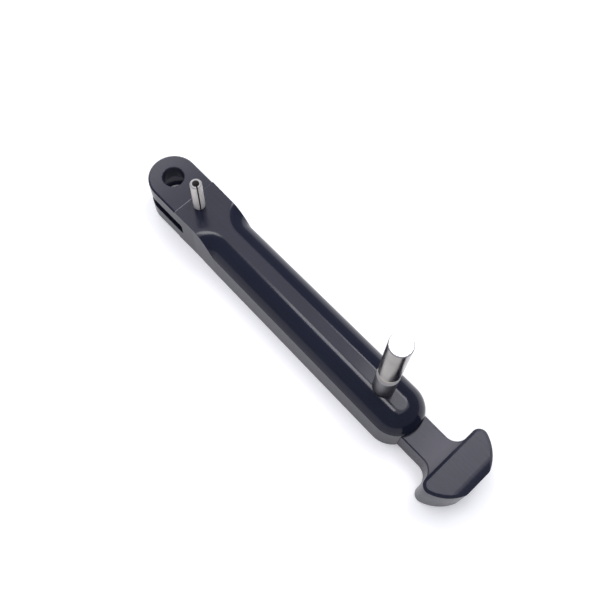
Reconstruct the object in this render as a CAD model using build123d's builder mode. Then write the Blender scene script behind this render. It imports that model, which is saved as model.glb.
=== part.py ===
from build123d import *
import math
import os

# ---------------------------------------------------------------------------
# Adjustable side stand for a motorcycle: a milled aluminium leg with a clevis
# at one end and a telescoping T-shaped foot at the other, a slotted spring pin
# for the return springs and a round steel kick peg.
#
# Frame: origin on the pivot axis, half way through the clevis.  +Z is the
# pivot axis (up as the stand lies on a bench), +X runs towards the foot.
# All dimensions are in millimetres.
# ---------------------------------------------------------------------------
os.makedirs("parts", exist_ok=True)

# --- overall heights -------------------------------------------------------
CLEVIS_T = 30.6                    # thickness of the leg
Z_TOP = CLEVIS_T / 2               # clevis top face and leg crown
Z_BOT = -CLEVIS_T / 2              # flat underside of leg and foot

# --- clevis ----------------------------------------------------------------
CLEVIS_R = 14.0                    # rounded end about the pivot axis
PIVOT_R = 6.0                      # bore for a 12 mm shouldered pivot bolt
PIVOT_CHAMFER = 0.4
SLOT_Z0, SLOT_Z1 = -4.5, 4.5        # gap between the ears
SLOT_END_X = 22.0                  # floor of the gap
FACE_RELIEF = 0.3                  # spot face depth on the ears' outer faces
FACE_RELIEF_X = 17.4               # where the spot face stops
EAR_BEVEL = 0.9                    # bevel round the spot faces' outer edges

# --- leg body --------------------------------------------------------------
CHEEK_X = 18.0                     # the clevis flanks are parallel up to here
WAIST_X, WAIST_W = 32.0, 13.75     # narrowest half width
BODY_X0, BODY_W0 = 49.5, 14.15     # half width where the rounding is complete
END_X, END_R = 176.3, 15.0         # centre and radius of the rounded end

# --- rounding of the upper corners -----------------------------------------
CORNER_A, CORNER_B = 12.15, 13.8   # width and height of the corner's curve
CORNER_R1 = 9.5                    # its radius next to the crown
CORNER_IN = 11.85                  # distance of the crown's edge from the flank
RUNOUT_R = 18.0                    # plan radius where the rounding runs out

# --- foot socket in the leg ------------------------------------------------
SHANK_W = 17.4                     # width of the foot's shank
SHANK_TOP = Z_TOP - 13.4           # top face of the shank
SLIDE_GAP = 0.08                   # clearance all round the shank
CHAN_X0 = 97.0                     # inner end of the channel
TRAVEL_IN, TRAVEL_OUT = 8.0, 14.0  # foot travel from the rest setting

# --- clamp screws under the foot -------------------------------------------
SCREW_X = (130.0, 148.0)
SCREW_R = 3.0                      # M6
SCREW_HEAD_R, SCREW_HEAD_H = 5.0, 6.0
SCREW_LEN = 20.0
WASHER_R, WASHER_T = 5.5, 1.6
SLOT_NARROW = 6.8
SLOT_WIDE = 11.8
LEDGE_Z = Z_BOT + 8.1              # ledge that the washers bear on

# --- foot ------------------------------------------------------------------
PAD_X0 = 211.6                     # straight rear edge of the half-moon pad
PAD_X1 = 231.2                     # flattened far end
PAD_TOP = Z_TOP - 1.5
PAD_HALF = 21.4                    # half of the pad's full width
FLARE_R = 7.4                      # fillet between the shank and the pad
PAD_EDGE = 1.5                     # chamfer round the pad's top face
ROLL_X, ROLL_R = 226.0, 9.0         # rolled far edge of the pad's top
SHANK_EDGE = 0.7
FOOT_X_IN = 105.5                  # inner end of the shank

# --- kick peg --------------------------------------------------------------
PEG_X = 165.0
PEG_R = 6.0
PEG_TOP = Z_TOP + 66.5
COLLAR_H = 22.6                    # lower length, below the groove
COLLAR_CHAMFER = 1.2
GROOVE_R, GROOVE_H = 4.8, 5.4
STUD_R, STUD_L = 4.0, 10.5         # M8 stud in the leg

# --- spring pin ------------------------------------------------------------
PIN_X, PIN_Y = 23.5, -1.0          # stands a little to one side of the middle
PIN_R = 3.25                       # free radius
PIN_HOLE_R = 3.0                   # squeezed radius in the leg's hole
PIN_TAPER = 0.5                    # short taper between the two
PIN_BORE_R = 1.9
PIN_SLIT = 0.8
PIN_IN = 9.8                       # depth driven into the leg
PIN_OUT = 24.0                     # length standing proud
PIN_CHAMFER = 0.7


# direction of the tapering flanks, tangent to the rounded end
run = END_X - BODY_X0
alpha = math.asin(END_R / math.hypot(run, BODY_W0)) - math.atan2(BODY_W0, run)
ux, uy = math.cos(alpha), math.sin(alpha)           # along the +Y flank
nx, ny = -math.sin(alpha), math.cos(alpha)          # outwards from it
tan_x, tan_y = END_X + END_R * nx, END_R * ny

# path of the corner's curve: out of the clevis, along the flank, round the end
fx, fy = BODY_X0 - CORNER_IN * nx, BODY_W0 - CORNER_IN * ny
gx, gy = END_X + (END_R - CORNER_IN) * nx, (END_R - CORNER_IN) * ny
qx, qy = fx + RUNOUT_R * nx, fy + RUNOUT_R * ny
rx, ry = qx - RUNOUT_R * ux, qy - RUNOUT_R * uy
hx = qx - RUNOUT_R * (nx + ux) / math.sqrt(2)
hy = qy - RUNOUT_R * (ny + uy) / math.sqrt(2)

# the corner's curve is made of two tangent arcs
r1 = CORNER_R1
r2 = ((CORNER_A**2 + (CORNER_B - r1)**2 - r1**2) / (2 * (CORNER_A - r1)))
turn = math.atan2(r2 - CORNER_A, CORNER_B - r1)
c2t, c2z = CORNER_A - r2, -CORNER_B
jt, jz = r1 * math.sin(turn), -r1 + r1 * math.cos(turn)
half_turn = (turn + math.pi / 2) / 2

# ---------------------------------------------------------------------------
# Leg
# ---------------------------------------------------------------------------
# tool that rounds the upper corners, swept all round the body
with BuildPart() as rounding:
    with BuildLine() as path:
        ThreePointArc((rx, ry, Z_TOP), (hx, hy, Z_TOP), (fx, fy, Z_TOP))
        Line((fx, fy, Z_TOP), (gx, gy, Z_TOP))
        ThreePointArc((gx, gy, Z_TOP), (END_X + END_R - CORNER_IN, 0, Z_TOP),
                      (gx, -gy, Z_TOP))
        Line((gx, -gy, Z_TOP), (fx, -fy, Z_TOP))
        ThreePointArc((fx, -fy, Z_TOP), (hx, -hy, Z_TOP), (rx, -ry, Z_TOP))
    with BuildSketch(Plane(origin=(rx, ry, Z_TOP), x_dir=(ux, uy, 0),
                           z_dir=(nx * -1, ny * -1, 0))) as corner:
        with BuildLine():
            ThreePointArc((0, 0), (r1 * math.sin(turn / 2), -r1 + r1 * math.cos(turn / 2)),
                          (jt, jz))
            ThreePointArc((jt, jz),
                          (c2t + r2 * math.sin(half_turn), c2z + r2 * math.cos(half_turn)),
                          (CORNER_A, -CORNER_B))
            Polyline((CORNER_A, -CORNER_B), (CORNER_A + 2, -CORNER_B), (CORNER_A + 2, 1),
                     (0, 1), (0, 0))
        make_face()
    sweep(path=path.wires()[0])

# triangular tool that bevels the ears' outer edges
BEVEL_Z = Z_TOP - FACE_RELIEF
with BuildPart() as bevel:
    with BuildLine() as rim_path:
        Line((FACE_RELIEF_X, CLEVIS_R, BEVEL_Z), (0, CLEVIS_R, BEVEL_Z))
        ThreePointArc((0, CLEVIS_R, BEVEL_Z), (-CLEVIS_R, 0, BEVEL_Z),
                      (0, -CLEVIS_R, BEVEL_Z))
        Line((0, -CLEVIS_R, BEVEL_Z), (FACE_RELIEF_X, -CLEVIS_R, BEVEL_Z))
    with BuildSketch(Plane(origin=(FACE_RELIEF_X, CLEVIS_R, BEVEL_Z), x_dir=(0, 1, 0),
                           z_dir=(-1, 0, 0))):
        with BuildLine():
            # local y of this plane points down
            Polyline((-EAR_BEVEL - 0.5, -0.5), (0.5, EAR_BEVEL + 0.5), (0.5, -0.5),
                     (-EAR_BEVEL - 0.5, -0.5))
        make_face()
    sweep(path=rim_path.wires()[0])

with BuildPart() as leg_full:
    with BuildSketch(Plane.XY.offset(Z_BOT)):
        with BuildLine():
            ThreePointArc((0, CLEVIS_R), (-CLEVIS_R, 0), (0, -CLEVIS_R))
            Polyline((0, -CLEVIS_R), (CHEEK_X, -CLEVIS_R), (WAIST_X, -WAIST_W),
                     (BODY_X0, -BODY_W0), (tan_x, -tan_y))
            ThreePointArc((tan_x, -tan_y), (END_X + END_R, 0), (tan_x, tan_y))
            Polyline((tan_x, tan_y), (BODY_X0, BODY_W0), (WAIST_X, WAIST_W),
                     (CHEEK_X, CLEVIS_R), (0, CLEVIS_R))
        make_face()
    extrude(amount=CLEVIS_T)
    add(rounding.part, mode=Mode.SUBTRACT)

    # gap between the two ears
    with BuildSketch(Plane.XZ.offset(30)):
        with BuildLine():
            Polyline((-20, SLOT_Z0), (SLOT_END_X - 1.5, SLOT_Z0))
            ThreePointArc((SLOT_END_X - 1.5, SLOT_Z0),
                          (SLOT_END_X - 1.5 + 1.5 * math.sin(math.pi / 4),
                           SLOT_Z0 + 1.5 * (1 - math.cos(math.pi / 4))),
                          (SLOT_END_X, SLOT_Z0 + 1.5))
            Line((SLOT_END_X, SLOT_Z0 + 1.5), (SLOT_END_X, SLOT_Z1 - 1.5))
            ThreePointArc((SLOT_END_X, SLOT_Z1 - 1.5),
                          (SLOT_END_X - 1.5 + 1.5 * math.cos(math.pi / 4),
                           SLOT_Z1 - 1.5 + 1.5 * math.sin(math.pi / 4)),
                          (SLOT_END_X - 1.5, SLOT_Z1))
            Polyline((SLOT_END_X - 1.5, SLOT_Z1), (-20, SLOT_Z1), (-20, SLOT_Z0))
        make_face()
    extrude(amount=-60, mode=Mode.SUBTRACT)

    # shallow spot faces on both ears
    for z0, direction in ((Z_TOP - FACE_RELIEF, 1), (Z_BOT + FACE_RELIEF, -1)):
        with BuildSketch(Plane.XY.offset(z0)):
            with Locations((FACE_RELIEF_X - 25, 0)):
                Rectangle(50, 40)
        extrude(amount=direction * 2, mode=Mode.SUBTRACT)

    # bevels round the spot faces
    add(bevel.part, mode=Mode.SUBTRACT)
    add(mirror(bevel.part, about=Plane.XY), mode=Mode.SUBTRACT)

    # pivot bore with broken edges
    with BuildSketch(Plane.XY.offset(Z_BOT)):
        Circle(PIVOT_R)
    extrude(amount=CLEVIS_T, mode=Mode.SUBTRACT)
    chamfer([e for e in leg_full.edges().filter_by(GeomType.CIRCLE)
             if abs(e.radius - PIVOT_R) < 0.01 and abs(abs(e.center().Z) - BEVEL_Z) < 0.01],
            length=PIVOT_CHAMFER)

    # socket for the foot, open along the underside and at the ball end
    with BuildSketch(Plane.XY.offset(Z_BOT)):
        with Locations(((CHAN_X0 + 200) / 2, 0)):
            Rectangle(200 - CHAN_X0, SHANK_W + 2 * SLIDE_GAP)
    extrude(amount=SHANK_TOP + SLIDE_GAP - Z_BOT, mode=Mode.SUBTRACT)

    # tapped holes for the clamp screws (drawn at thread size)
    with BuildSketch(Plane.XY.offset(SHANK_TOP)):
        with Locations(*[(x, 0) for x in SCREW_X]):
            Circle(SCREW_R)
    extrude(amount=LEDGE_Z - WASHER_T + SCREW_LEN + 1.0 - SHANK_TOP, mode=Mode.SUBTRACT)

    # tapped hole for the kick peg
    with BuildSketch(Plane.XY.offset(Z_TOP)):
        with Locations((PEG_X, 0)):
            Circle(STUD_R)
    extrude(amount=-(STUD_L + 0.6), mode=Mode.SUBTRACT)

    # hole for the spring pin
    with BuildSketch(Plane.XY.offset(Z_TOP)):
        with Locations((PIN_X, PIN_Y)):
            Circle(PIN_HOLE_R)
    extrude(amount=-PIN_IN, mode=Mode.SUBTRACT)

leg_full.part.label = "leg"
export_step(leg_full.part, "parts/leg.step")

# ---------------------------------------------------------------------------
# Foot: rectangular shank that slides in the leg, and a raised half-moon pad
# ---------------------------------------------------------------------------
PAD_CX, PAD_R = 209.5, 23.2        # arc of the half moon
PAD_CORNER = 4.5                   # rear corners
half = SHANK_W / 2
pc_x = PAD_X0 + PAD_CORNER
pc_y = math.sqrt((PAD_R - PAD_CORNER)**2 - (pc_x - PAD_CX)**2)
k = PAD_R / (PAD_R - PAD_CORNER)
tx, ty = PAD_CX + (pc_x - PAD_CX) * k, pc_y * k          # arc meets corner
ca = math.atan2(ty - pc_y, tx - pc_x)
mx = pc_x + PAD_CORNER * math.cos((ca + math.pi) / 2)
my = pc_y + PAD_CORNER * math.sin((ca + math.pi) / 2)
ey = math.sqrt(PAD_R**2 - (PAD_X1 - PAD_CX)**2)
am = (math.atan2(ty, tx - PAD_CX) + math.atan2(ey, PAD_X1 - PAD_CX)) / 2
ax, ay = PAD_CX + PAD_R * math.cos(am), PAD_R * math.sin(am)

with BuildPart() as foot:
    # shank with flared shoulders
    with BuildSketch(Plane.XY.offset(Z_BOT)):
        with BuildLine():
            Polyline((PAD_X0 + 4, -half - FLARE_R), (PAD_X0, -half - FLARE_R))
            RadiusArc((PAD_X0, -half - FLARE_R), (PAD_X0 - FLARE_R, -half), -FLARE_R)
            Polyline((PAD_X0 - FLARE_R, -half), (FOOT_X_IN, -half), (FOOT_X_IN, half),
                     (PAD_X0 - FLARE_R, half))
            RadiusArc((PAD_X0 - FLARE_R, half), (PAD_X0, half + FLARE_R), -FLARE_R)
            Polyline((PAD_X0, half + FLARE_R), (PAD_X0 + 4, half + FLARE_R),
                     (PAD_X0 + 4, -half - FLARE_R))
        make_face()
    extrude(amount=SHANK_TOP - Z_BOT)
    top = foot.faces().sort_by(Axis.Z)[-1]
    chamfer([e for e in top.edges() if e.length > 5 and abs(e.center().Y) > 6
             and e.center().X < PAD_X0], length=SHANK_EDGE)
    # half-moon pad
    with BuildSketch(Plane.XY.offset(Z_BOT)) as moon:
        with BuildLine():
            Line((PAD_X0, -pc_y), (PAD_X0, pc_y))
            ThreePointArc((PAD_X0, pc_y), (mx, my), (tx, ty))
            ThreePointArc((tx, ty), (ax, ay), (PAD_X1, ey))
            Line((PAD_X1, ey), (PAD_X1, -ey))
            ThreePointArc((PAD_X1, -ey), (ax, -ay), (tx, -ty))
            ThreePointArc((tx, -ty), (mx, -my), (PAD_X0, -pc_y))
        make_face()
        fillet(moon.vertices().group_by(Axis.X)[-1], radius=5.0)
    extrude(amount=PAD_TOP - Z_BOT)
    rim = foot.faces().sort_by(Axis.Z)[-1]
    chamfer(rim.edges(), length=PAD_EDGE)
    # rolled far edge
    with BuildSketch(Plane.XZ.offset(-30)):
        with BuildLine():
            ThreePointArc((ROLL_X, PAD_TOP),
                          (ROLL_X + ROLL_R * math.sin(math.pi / 4),
                           PAD_TOP - ROLL_R * (1 - math.cos(math.pi / 4))),
                          (ROLL_X + ROLL_R, PAD_TOP - ROLL_R))
            Polyline((ROLL_X + ROLL_R, PAD_TOP - ROLL_R), (ROLL_X + ROLL_R + 2, PAD_TOP - ROLL_R),
                     (ROLL_X + ROLL_R + 2, PAD_TOP + 2), (ROLL_X, PAD_TOP + 2),
                     (ROLL_X, PAD_TOP))
        make_face()
    extrude(amount=60, mode=Mode.SUBTRACT)
    low = foot.faces().sort_by(Axis.Z)[0]
    chamfer([e for e in low.edges() if e.center().X > PAD_X0 + 0.5], length=0.8)
    # stepped slot for the clamp screws
    sx0, sx1 = SCREW_X[0] - TRAVEL_OUT - 0.3, SCREW_X[-1] + TRAVEL_IN + 0.3
    with BuildSketch(Plane.XY.offset(Z_BOT)):
        with Locations(((sx0 + sx1) / 2, 0)):
            SlotCenterToCenter(sx1 - sx0, SLOT_WIDE)
    extrude(amount=LEDGE_Z - Z_BOT, mode=Mode.SUBTRACT)
    with BuildSketch(Plane.XY.offset(LEDGE_Z)):
        with Locations(((sx0 + sx1) / 2, 0)):
            SlotCenterToCenter(sx1 - sx0, SLOT_NARROW)
    extrude(amount=SHANK_TOP - LEDGE_Z, mode=Mode.SUBTRACT)
foot.part.label = "foot"
export_step(foot.part, "parts/foot.step")

# ---------------------------------------------------------------------------
# Kick peg: turned bar with a groove, on an M8 stud
# ---------------------------------------------------------------------------
with BuildPart() as kick_peg:
    with BuildSketch(Plane.XZ):
        with BuildLine():
            Polyline((PEG_X, Z_TOP - STUD_L), (PEG_X + STUD_R - 0.6, Z_TOP - STUD_L),
                     (PEG_X + STUD_R, Z_TOP - STUD_L + 0.6), (PEG_X + STUD_R, Z_TOP),
                     (PEG_X + PEG_R - 0.4, Z_TOP), (PEG_X + PEG_R, Z_TOP + 0.4),
                     (PEG_X + PEG_R, Z_TOP + COLLAR_H - COLLAR_CHAMFER),
                     (PEG_X + GROOVE_R, Z_TOP + COLLAR_H),
                     (PEG_X + GROOVE_R, Z_TOP + COLLAR_H + GROOVE_H),
                     (PEG_X + PEG_R - 0.4, Z_TOP + COLLAR_H + GROOVE_H),
                     (PEG_X + PEG_R, Z_TOP + COLLAR_H + GROOVE_H + 0.4),
                     (PEG_X + PEG_R, PEG_TOP - 0.6), (PEG_X + PEG_R - 0.6, PEG_TOP),
                     (PEG_X, PEG_TOP), (PEG_X, Z_TOP - STUD_L))
        make_face()
    revolve(axis=Axis((PEG_X, 0, 0), (0, 0, 1)), revolution_arc=360)
kick_peg.part.label = "kick_peg"
export_step(kick_peg.part, "parts/kick_peg.step")

# ---------------------------------------------------------------------------
# Slotted spring pin
# ---------------------------------------------------------------------------
PIN_SLIT_ANGLE = -25.0
with BuildPart() as spring_pin:
    # rolled strip: squeezed in its hole, springing out to its free size above
    with BuildSketch(Plane.XZ.offset(-PIN_Y)):
        with BuildLine():
            Polyline((PIN_X + PIN_BORE_R, Z_TOP - PIN_IN),
                     (PIN_X + PIN_HOLE_R - PIN_CHAMFER, Z_TOP - PIN_IN),
                     (PIN_X + PIN_HOLE_R, Z_TOP - PIN_IN + PIN_CHAMFER),
                     (PIN_X + PIN_HOLE_R, Z_TOP), (PIN_X + PIN_R, Z_TOP + PIN_TAPER),
                     (PIN_X + PIN_R, Z_TOP + PIN_OUT - PIN_CHAMFER),
                     (PIN_X + PIN_R - PIN_CHAMFER, Z_TOP + PIN_OUT),
                     (PIN_X + PIN_BORE_R, Z_TOP + PIN_OUT),
                     (PIN_X + PIN_BORE_R, Z_TOP - PIN_IN))
        make_face()
    revolve(axis=Axis((PIN_X, PIN_Y, 0), (0, 0, 1)), revolution_arc=360)
    with BuildSketch(Plane.XY.offset(Z_TOP - PIN_IN - 1)):
        with Locations(Location((PIN_X, PIN_Y, 0), (0, 0, PIN_SLIT_ANGLE))):
            with Locations((PIN_R, 0)):
                Rectangle(2 * PIN_R, PIN_SLIT)
    extrude(amount=PIN_IN + PIN_OUT + 2, mode=Mode.SUBTRACT)
spring_pin.part.label = "spring_pin"
export_step(spring_pin.part, "parts/spring_pin.step")

# ---------------------------------------------------------------------------
# Clamp screws (M6 socket cap) and their washers, under the foot's shank
# ---------------------------------------------------------------------------
SEAT_Z = LEDGE_Z - 0.05            # washer face, just clear of the ledge
with BuildPart() as clamp_screws:
    with BuildSketch(Plane.XY.offset(SEAT_Z - WASHER_T - SCREW_HEAD_H)):
        with Locations(*[(x, 0) for x in SCREW_X]):
            Circle(SCREW_HEAD_R)
    extrude(amount=SCREW_HEAD_H)
    heads = clamp_screws.faces().sort_by(Axis.Z)[:2]
    chamfer([f.edges()[0] for f in heads], length=0.5)
    with BuildSketch(Plane.XY.offset(SEAT_Z - WASHER_T)):
        with Locations(*[(x, 0) for x in SCREW_X]):
            Circle(SCREW_R)
    extrude(amount=SCREW_LEN)
    with BuildSketch(Plane.XY.offset(SEAT_Z - WASHER_T - SCREW_HEAD_H)):
        with Locations(*[(x, 0) for x in SCREW_X]):
            RegularPolygon(2.5, 6, major_radius=False)
    extrude(amount=3.2, mode=Mode.SUBTRACT)
clamp_screws.part.label = "clamp_screws"
export_step(clamp_screws.part, "parts/clamp_screws.step")

with BuildPart() as clamp_washers:
    with BuildSketch(Plane.XY.offset(SEAT_Z - WASHER_T)):
        with Locations(*[(x, 0) for x in SCREW_X]):
            Circle(WASHER_R)
            Circle(SCREW_R + 0.2, mode=Mode.SUBTRACT)
    extrude(amount=WASHER_T)
clamp_washers.part.label = "clamp_washers"
export_step(clamp_washers.part, "parts/clamp_washers.step")
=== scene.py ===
import math
import bpy
import bmesh
from mathutils import Matrix, Vector


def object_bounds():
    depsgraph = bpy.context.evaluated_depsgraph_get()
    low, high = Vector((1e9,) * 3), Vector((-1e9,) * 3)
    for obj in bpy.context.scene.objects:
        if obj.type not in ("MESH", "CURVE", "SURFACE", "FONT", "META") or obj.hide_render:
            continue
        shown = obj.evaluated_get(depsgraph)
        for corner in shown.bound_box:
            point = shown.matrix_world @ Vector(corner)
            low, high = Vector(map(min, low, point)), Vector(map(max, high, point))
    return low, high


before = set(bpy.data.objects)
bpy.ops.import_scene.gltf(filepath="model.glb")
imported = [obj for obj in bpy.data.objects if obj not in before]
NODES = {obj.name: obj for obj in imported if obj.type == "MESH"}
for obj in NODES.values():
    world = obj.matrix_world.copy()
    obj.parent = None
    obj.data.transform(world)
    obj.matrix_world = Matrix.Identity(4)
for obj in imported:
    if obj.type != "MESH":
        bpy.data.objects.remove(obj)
CAD_BOX = [list(v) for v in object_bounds()]
scene = bpy.context.scene
scene.view_settings.view_transform = "Standard"
scene.view_settings.look = "None"

# ---------------------------------------------------------------- camera
cam_data = bpy.data.cameras.new("camera")
cam = bpy.data.objects.new("camera", cam_data)
scene.collection.objects.link(cam)
scene.camera = cam
cam_data.sensor_width = 36.0
cam_data.lens = 51.0
cam_data.clip_start, cam_data.clip_end = 0.01, 20.0
CAM_LOC = (0.21483, -0.11988, 0.43159)
CAM_AXES = ((0.685382, -0.683074, 0.252312), (0.727737, 0.630388, -0.270205), (0.025515, 0.368810, 0.929155))
rot = Matrix(CAM_AXES)
cam.matrix_world = Matrix.Translation(Vector(CAM_LOC)) @ rot.to_4x4()


# ---------------------------------------------------------------- node helpers
def new_material(name):
    m = bpy.data.materials.new(name)
    m.use_nodes = True
    nt = m.node_tree
    nt.nodes.clear()
    out = nt.nodes.new("ShaderNodeOutputMaterial")
    bsdf = nt.nodes.new("ShaderNodeBsdfPrincipled")
    nt.links.new(bsdf.outputs[0], out.inputs["Surface"])
    return m, nt, bsdf


def add(nt, kind, **values):
    n = nt.nodes.new(kind)
    for k, v in values.items():
        if hasattr(n, k):
            setattr(n, k, v)
        else:
            n.inputs[k].default_value = v
    return n


def link(nt, a, b):
    nt.links.new(a, b)


def coords(nt, scale=(1, 1, 1), rotation=(0, 0, 0)):
    tc = nt.nodes.new("ShaderNodeTexCoord")
    mp = nt.nodes.new("ShaderNodeMapping")
    mp.inputs["Scale"].default_value = scale
    mp.inputs["Rotation"].default_value = rotation
    link(nt, tc.outputs["Object"], mp.inputs["Vector"])
    return mp.outputs[0]


def noise(nt, vec, scale, detail=2.0, rough=0.5, distortion=0.0):
    n = add(nt, "ShaderNodeTexNoise")
    n.inputs["Scale"].default_value = scale
    n.inputs["Detail"].default_value = detail
    n.inputs["Roughness"].default_value = rough
    n.inputs["Distortion"].default_value = distortion
    link(nt, vec, n.inputs["Vector"])
    return n.outputs[0]


def ramp(nt, value, lo, hi, out_lo, out_hi):
    n = nt.nodes.new("ShaderNodeMapRange")
    n.inputs["From Min"].default_value = lo
    n.inputs["From Max"].default_value = hi
    n.inputs["To Min"].default_value = out_lo
    n.inputs["To Max"].default_value = out_hi
    link(nt, value, n.inputs["Value"])
    return n.outputs[0]


def mix_color(nt, fac, a, b):
    n = nt.nodes.new("ShaderNodeMix")
    n.data_type = "RGBA"
    if hasattr(fac, "is_linked") or hasattr(fac, "links"):
        link(nt, fac, n.inputs["Factor"])
    else:
        n.inputs["Factor"].default_value = fac
    for sock, val in ((n.inputs[6], a), (n.inputs[7], b)):
        if isinstance(val, (tuple, list)):
            sock.default_value = (*val, 1.0) if len(val) == 3 else val
        else:
            link(nt, val, sock)
    return n.outputs[2]


def math_node(nt, op, a, b=None):
    n = nt.nodes.new("ShaderNodeMath")
    n.operation = op
    for i, v in enumerate((a, b)):
        if v is None:
            continue
        if isinstance(v, (int, float)):
            n.inputs[i].default_value = v
        else:
            link(nt, v, n.inputs[i])
    return n.outputs[0]


def bump(nt, height, strength, distance, normal=None):
    n = nt.nodes.new("ShaderNodeBump")
    n.inputs["Strength"].default_value = strength
    n.inputs["Distance"].default_value = distance
    link(nt, height, n.inputs["Height"])
    if normal is not None:
        link(nt, normal, n.inputs["Normal"])
    return n.outputs[0]


# ---------------------------------------------------------------- materials
def anodised(name, tint, streak_turn=0.0, streak_amount=0.5, rough=0.18, level=0.5,
             low=None, step_line=False):
    """Black anodised aluminium: dark dyed layer, soft sheen, fine machining grain."""
    m, nt, bsdf = new_material(name)
    vec = coords(nt)
    fine = noise(nt, vec, 2600.0, 2.0, 0.6)
    turned = coords(nt, (0.10, 2.4, 2.4), (0, 0, streak_turn))
    streak = noise(nt, turned, 800.0, 3.0, 0.6)
    cloud = noise(nt, vec, 26.0, 3.0, 0.55)
    col = mix_color(nt, ramp(nt, cloud, 0.3, 0.7, 0, 1), tint, tuple(c * 1.18 for c in tint))
    col = mix_color(nt, ramp(nt, streak, 0.4, 0.8, 0, streak_amount), col,
                    tuple(c * 1.9 for c in tint))
    tc = nt.nodes.new("ShaderNodeTexCoord")
    sep = nt.nodes.new("ShaderNodeSeparateXYZ")
    link(nt, tc.outputs["Object"], sep.inputs[0])
    if low is not None:
        # faces below z0 are painted paler, most of all out on the pad and least on the shaded neck: painted
        # light on the lower walls
        z0, z1, painted_lit_colour = low
        painted_lit_mask = math_node(nt, "MULTIPLY", ramp(nt, sep.outputs["Z"], z0, z1, 1.0, 0.0),
                         ramp(nt, sep.outputs["X"], 0.196, 0.207, 0.30, 1.0))
        col = mix_color(nt, painted_lit_mask, col, painted_lit_colour)
    # worn edges let a little bare metal through
    geo = nt.nodes.new("ShaderNodeNewGeometry")
    bev = nt.nodes.new("ShaderNodeBevel")
    bev.samples = 4
    bev.inputs["Radius"].default_value = 0.0004
    dot = nt.nodes.new("ShaderNodeVectorMath")
    dot.operation = "DOT_PRODUCT"
    link(nt, geo.outputs["Normal"], dot.inputs[0])
    link(nt, bev.outputs[0], dot.inputs[1])
    wear = math_node(nt, "MULTIPLY", ramp(nt, dot.outputs["Value"], 0.985, 0.80, 0, 1),
                     ramp(nt, noise(nt, vec, 240.0, 4.0, 0.65), 0.40, 0.60, 0.10, 0.75))
    col = mix_color(nt, wear, col, (0.20, 0.20, 0.22))
    if step_line:
        # a thin pale line is painted across the clevis face along the shallow step: a painted highlight on
        # the step's edge
        off = math_node(nt, "ABSOLUTE", math_node(nt, "SUBTRACT", sep.outputs["X"], 0.0174))
        painted_step_highlight = math_node(nt, "MULTIPLY", ramp(nt, off, 0.00016, 0.00034, 1, 0),
                         ramp(nt, sep.outputs["Z"], 0.0149, 0.0150, 0, 1))
        painted_step_highlight = math_node(nt, "MULTIPLY", painted_step_highlight, ramp(nt, sep.outputs["Y"], 0.001, -0.003, 0.15, 1))
        painted_step_highlight = math_node(nt, "MULTIPLY", painted_step_highlight,
                         ramp(nt, noise(nt, vec, 420.0, 3.0, 0.6), 0.35, 0.60, 0.35, 1.0))
        col = mix_color(nt, painted_step_highlight, col, (0.22, 0.22, 0.245))
    r = math_node(nt, "ADD", ramp(nt, cloud, 0.3, 0.7, rough - 0.02, rough + 0.03),
                  ramp(nt, fine, 0.3, 0.7, -0.03, 0.03))
    shy = level
    if step_line:
        # the pivot bore's wall is painted paler, a painted lightening of the shade inside the bore, with the
        # lower ear's mouth worn to bare metal
        flat = nt.nodes.new("ShaderNodeCombineXYZ")
        link(nt, sep.outputs["X"], flat.inputs[0])
        link(nt, sep.outputs["Y"], flat.inputs[1])
        ln = nt.nodes.new("ShaderNodeVectorMath")
        ln.operation = "LENGTH"
        link(nt, flat.outputs[0], ln.inputs[0])
        bore = ramp(nt, ln.outputs["Value"], 0.00605, 0.00615, 1, 0)
        col = mix_color(nt, bore, col, (0.050, 0.053, 0.075))
        metal = math_node(nt, "MULTIPLY", bore, ramp(nt, sep.outputs["Z"], -0.0050, -0.0047, 1, 0))
        col = mix_color(nt, metal, col, (0.38, 0.38, 0.40))
        link(nt, metal, bsdf.inputs["Metallic"])
        r = math_node(nt, "ADD", r, math_node(nt, "MULTIPLY", metal, 0.15))
        # the flat faces of the slot are left from the cutter and shine less
        inside = ramp(nt, math_node(nt, "ABSOLUTE", sep.outputs["Z"]), 0.0047, 0.0052, 1, 0)
        sepf = nt.nodes.new("ShaderNodeSeparateXYZ")
        link(nt, geo.outputs["True Normal"], sepf.inputs[0])
        facing = ramp(nt, math_node(nt, "ABSOLUTE", sepf.outputs["Z"]), 0.8, 0.9, 0, 1)
        shy = ramp(nt, math_node(nt, "MULTIPLY", inside, facing), 0, 1, level, level * 0.35)
    else:
        bsdf.inputs["Metallic"].default_value = 0.0
    link(nt, col, bsdf.inputs["Base Color"])
    bsdf.inputs["IOR"].default_value = 1.5
    # the upright flanks are sawn and stay duller than the milled faces
    sepn = nt.nodes.new("ShaderNodeSeparateXYZ")
    link(nt, geo.outputs["True Normal"], sepn.inputs[0])
    upright = math_node(nt, "ABSOLUTE", sepn.outputs["Z"])
    spec = math_node(nt, "MULTIPLY", ramp(nt, upright, 0.20, 0.70, 0.29, 1.0), shy)
    link(nt, spec, bsdf.inputs["Specular IOR Level"])
    link(nt, r, bsdf.inputs["Roughness"])
    h = math_node(nt, "ADD", fine, streak)
    nrm = bump(nt, h, 0.08, 0.00002, bev.outputs[0])
    link(nt, nrm, bsdf.inputs["Normal"])
    return m


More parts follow.
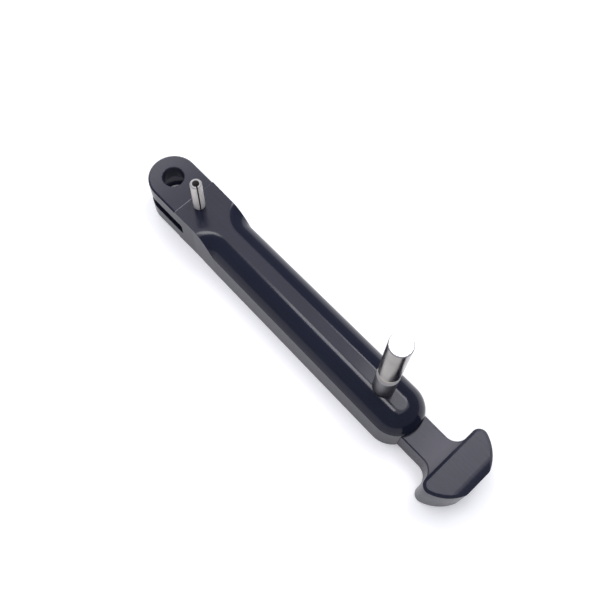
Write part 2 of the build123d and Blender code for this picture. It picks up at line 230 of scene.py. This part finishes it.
def steel(name, color, rough, grain=(1, 1, 1), dull=None, cap=None, painted_bore_shade=None, ring=None,
          metallic=1.0):
    m, nt, bsdf = new_material(name)
    turned = noise(nt, coords(nt, grain), 700.0, 3.0, 0.6)
    cloud = noise(nt, coords(nt), 60.0, 3.0, 0.5)
    col = mix_color(nt, ramp(nt, cloud, 0.3, 0.7, 0, 1), color, tuple(c * 0.88 for c in color))
    col = mix_color(nt, ramp(nt, turned, 0.45, 0.8, 0, 0.35), col, tuple(c * 0.75 for c in color))
    rr = ramp(nt, cloud, 0.3, 0.7, rough * 0.85, rough * 1.2)
    tc = nt.nodes.new("ShaderNodeTexCoord")
    sep = nt.nodes.new("ShaderNodeSeparateXYZ")
    link(nt, tc.outputs["Object"], sep.inputs[0])
    if dull is not None:
        # the length below z0 is left duller and darker than the polished end
        z0, z1, dark, more = dull
        lower = ramp(nt, sep.outputs["Z"], z0, z1, 1.0, 0.0)
        col = mix_color(nt, lower, col, dark)
        rr = math_node(nt, "ADD", rr, math_node(nt, "MULTIPLY", lower, more))
    if ring is not None:
        # bright turned edge between z0 and z1
        z0, z1, bright = ring
        edge = math_node(nt, "MULTIPLY", ramp(nt, sep.outputs["Z"], z0, z0 + 0.00005, 0, 1),
                         ramp(nt, sep.outputs["Z"], z1, z1 + 0.00005, 1, 0))
        col = mix_color(nt, edge, col, bright)
        rr = math_node(nt, "MULTIPLY", rr, ramp(nt, edge, 0, 1, 1.0, 0.35))
    if cap is not None:
        # faced end above z0 in its own colour and metallic; the peg's near-white, partly diffuse end is a
        # painted reflection of the overhead light
        z0, z1, bright = cap
        faced = ramp(nt, sep.outputs["Z"], z0, z1, 0.0, 1.0)
        col = mix_color(nt, faced, col, bright)
        link(nt, ramp(nt, faced, 0, 1, metallic, min(metallic, 0.6)), bsdf.inputs["Metallic"])
    else:
        bsdf.inputs["Metallic"].default_value = metallic
    if painted_bore_shade is not None:
        # the wall of the rolled strip's bore is painted dark: painted shade inside the hollow pin
        cx, cy, radius = painted_bore_shade
        dx = math_node(nt, "SUBTRACT", sep.outputs["X"], cx)
        dy = math_node(nt, "SUBTRACT", sep.outputs["Y"], cy)
        rad = math_node(nt, "SQRT", math_node(nt, "ADD", math_node(nt, "MULTIPLY", dx, dx),
                                              math_node(nt, "MULTIPLY", dy, dy)))
        col = mix_color(nt, ramp(nt, rad, radius, radius + 0.0001, 1, 0), col, (0.22, 0.21, 0.20))
    link(nt, col, bsdf.inputs["Base Color"])
    r = math_node(nt, "ADD", rr, ramp(nt, turned, 0.3, 0.7, -0.03, 0.03))
    link(nt, r, bsdf.inputs["Roughness"])
    link(nt, bump(nt, turned, 0.12, 0.00001), bsdf.inputs["Normal"])
    return m


mats = {
    "leg": anodised("black_anodised_leg", (0.0100, 0.0114, 0.0222), 0.0, 0.45,
                    rough=0.14, level=0.27, step_line=True),
    # the foot's lower faces are painted paler: painted light on the pad's walls
    "foot": anodised("black_anodised_foot", (0.0140, 0.0150, 0.0265), 0.75, 0.8,
                     rough=0.24, level=0.26, low=(0.0040, 0.0080, (0.056, 0.055, 0.073))),
    "kick_peg": steel("polished_steel", (0.290, 0.268, 0.250), 0.20, (0.4, 0.4, 3.0),
                      ring=(0.03662, 0.03788, (1.0, 0.93, 0.84)),
                      dull=(0.0374, 0.0380, (0.18, 0.178, 0.188), 0.12),
                      # the peg's end is painted near-white: painted reflection of the overhead light
                      cap=(0.08125, 0.08150, (0.95, 0.94, 0.93))),
    "spring_pin": steel("spring_steel", (0.84, 0.79, 0.735), 0.42, (3.0, 3.0, 0.3),
                        cap=(0.03855, 0.03870, (0.40, 0.385, 0.37)),
                        # the pin's bore wall is painted dark: painted shade
                        painted_bore_shade=(0.0235, -0.0010, 0.0020), metallic=0.15),
    "clamp_screws": steel("screw_steel", (0.07, 0.07, 0.075), 0.38),
    "clamp_washers": steel("washer_steel", (0.55, 0.55, 0.56), 0.30),
}
for node, o in NODES.items():
    o.data.materials.clear()
    o.data.materials.append(mats[node])

# ---------------------------------------------------------------- floor and light
FLOOR_Z = CAD_BOX[0][2]
me = bpy.data.meshes.new("floor")
S = 8.0
me.from_pydata([(-S, -S, FLOOR_Z), (S, -S, FLOOR_Z), (S, S, FLOOR_Z), (-S, S, FLOOR_Z)], [], [(0, 1, 2, 3)])
floor = bpy.data.objects.new("floor", me)
scene.collection.objects.link(floor)
fm, nt, bsdf = new_material("floor_paper")
bsdf.inputs["Base Color"].default_value = (0.90, 0.90, 0.90, 1)
bsdf.inputs["Roughness"].default_value = 0.7
bsdf.inputs["Specular IOR Level"].default_value = 0.1
# backlit paper: its own glow keeps the ground near white under the object
bsdf.inputs["Emission Color"].default_value = (1.0, 0.99, 0.975, 1)
bsdf.inputs["Emission Strength"].default_value = 0.27
me.materials.append(fm)

world = bpy.data.worlds.new("studio")
scene.world = world
world.use_nodes = True
world.node_tree.nodes["Background"].inputs[0].default_value = (0.80, 0.86, 1.0, 1)
world.node_tree.nodes["Background"].inputs[1].default_value = 0.34


def area(name, loc, target, size, power, color=(1, 1, 1), size_y=None):
    d = bpy.data.lights.new(name, "AREA")
    d.shape = "RECTANGLE"
    d.size = size
    d.size_y = size_y or size
    d.energy = power
    d.color = color
    o = bpy.data.objects.new(name, d)
    scene.collection.objects.link(o)
    o.location = loc
    o.rotation_mode = "QUATERNION"
    o.rotation_quaternion = (Vector(target) - Vector(loc)).to_track_quat("-Z", "Y")
    return o


def softbox(name, centre, sx, sy, radiance, color=(1, 1, 1)):
    """Horizontal softbox facing down, given by the brightness of its face."""
    return area(name, centre, (centre[0], centre[1], 0), sx, radiance * math.pi * sx * sy,
                color, sy)


softbox("ceiling", (-0.25, 0.25, 1.45), 1.9, 1.1, 1.9, (0.96, 0.94, 1.0))
softbox("strip_near", (-0.03, -0.15, 1.3), 0.50, 0.32, 8.0, (0.97, 0.96, 1.0))
softbox("strip_far", (0.02, 0.60, 1.3), 0.34, 0.20, 6.5, (0.97, 0.96, 1.0))
softbox("foot_end", (0.15, 0.40, 1.28), 0.38, 0.34, 3.6, (0.95, 0.93, 1.0))
softbox("pivot_end", (-0.88, 0.36, 1.28), 0.44, 0.60, 3.4, (0.95, 0.93, 1.0))
